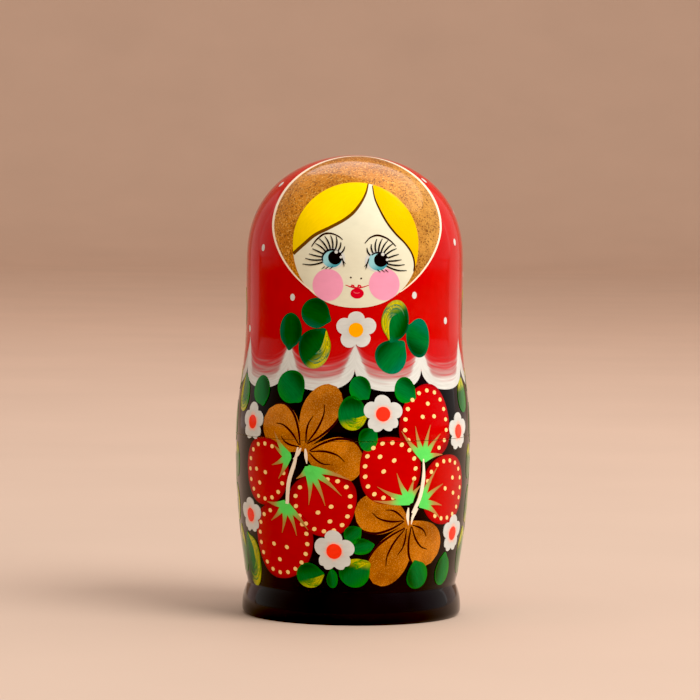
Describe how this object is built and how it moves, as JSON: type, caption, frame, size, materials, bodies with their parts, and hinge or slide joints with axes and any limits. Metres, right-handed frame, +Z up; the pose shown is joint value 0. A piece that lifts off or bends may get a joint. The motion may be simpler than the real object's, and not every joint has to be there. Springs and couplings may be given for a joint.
{
  "type": "nesting doll",
  "caption": "Painted wooden nesting doll: each hollow doll lifts apart at its waist joint to let out a smaller one, down to a solid core.",
  "frame": {"origin": "centre of the underside of the largest doll's foot, on the turning axis", "axes": "+Z up along the turning axis, towards the top of the head; the painted face looks along -Y"},
  "size_m": [0.087, 0.087, 0.17],
  "materials": {
    "linden_wood": "bare turned linden with fine lathe lines; all the shells and the core",
    "black_lacquer": "black oil paint ground under a high-gloss clear lacquer",
    "red_paint": "scarlet brushed paint of the shawl, varnished to a high gloss",
    "white_paint": "cream white brushed paint of flowers, scallops, stems, dots and seeds, varnished",
    "green_paint": "green leaf paint brushed with yellow, varnished",
    "berry_paint": "deep red paint of the berries, darker at the rim, varnished",
    "gold_paint": "bronze powder in varnish, with fine bright flakes",
    "skin_paint": "pale skin-coloured paint with pink cheeks, varnished",
    "hair_paint": "bright yellow paint of the hair, varnished",
    "detail_paint": "thin dark brown, black, blue and red lines of eyes, lashes, lips and veins"
  },
  "bodies": {
    "largest_doll_bottom": {"largest_doll_bottom": "linden_wood"},
    "largest_doll_top": {"largest_doll_top": "linden_wood"},
    "second_doll_bottom": {"second_doll_bottom": "linden_wood"},
    "second_doll_top": {"second_doll_top": "linden_wood"},
    "third_doll_bottom": {"third_doll_bottom": "linden_wood"},
    "third_doll_top": {"third_doll_top": "linden_wood"},
    "fourth_doll_bottom": {"fourth_doll_bottom": "linden_wood"},
    "fourth_doll_top": {"fourth_doll_top": "linden_wood"},
    "smallest_doll": {"smallest_doll": "linden_wood"}
  },
  "joints": [
    {"name": "largest_top_lift", "type": "slide", "parent": "largest_doll_bottom", "child": "largest_doll_top", "axis": [0, 0, 1], "range_m": [0, 0.506]},
    {"name": "second_doll_lift", "type": "slide", "parent": "largest_doll_bottom", "child": "second_doll_bottom", "axis": [0, 0, 1], "range_m": [0, 0.0819]},
    {"name": "second_top_lift", "type": "slide", "parent": "second_doll_bottom", "child": "second_doll_top", "axis": [0, 0, 1], "range_m": [0, 0.3361]},
    {"name": "third_doll_lift", "type": "slide", "parent": "second_doll_bottom", "child": "third_doll_bottom", "axis": [0, 0, 1], "range_m": [0, 0.0677]},
    {"name": "third_top_lift", "type": "slide", "parent": "third_doll_bottom", "child": "third_doll_top", "axis": [0, 0, 1], "range_m": [0, 0.1981]},
    {"name": "fourth_doll_lift", "type": "slide", "parent": "third_doll_bottom", "child": "fourth_doll_bottom", "axis": [0, 0, 1], "range_m": [0, 0.0555]},
    {"name": "fourth_top_lift", "type": "slide", "parent": "fourth_doll_bottom", "child": "fourth_doll_top", "axis": [0, 0, 1], "range_m": [0, 0.0874]},
    {"name": "smallest_doll_lift", "type": "slide", "parent": "fourth_doll_bottom", "child": "smallest_doll", "axis": [0, 0, 1], "range_m": [0, 0.0451]}
  ],
  "couplings": [
    {"joint": "second_doll_lift", "follows": "largest_top_lift", "ratio": 0.16186},
    {"joint": "second_top_lift", "follows": "largest_top_lift", "ratio": 0.66423},
    {"joint": "third_doll_lift", "follows": "largest_top_lift", "ratio": 0.13379},
    {"joint": "third_top_lift", "follows": "largest_top_lift", "ratio": 0.3915},
    {"joint": "fourth_doll_lift", "follows": "largest_top_lift", "ratio": 0.10968},
    {"joint": "fourth_top_lift", "follows": "largest_top_lift", "ratio": 0.17273},
    {"joint": "smallest_doll_lift", "follows": "largest_top_lift", "ratio": 0.08913}
  ]
}
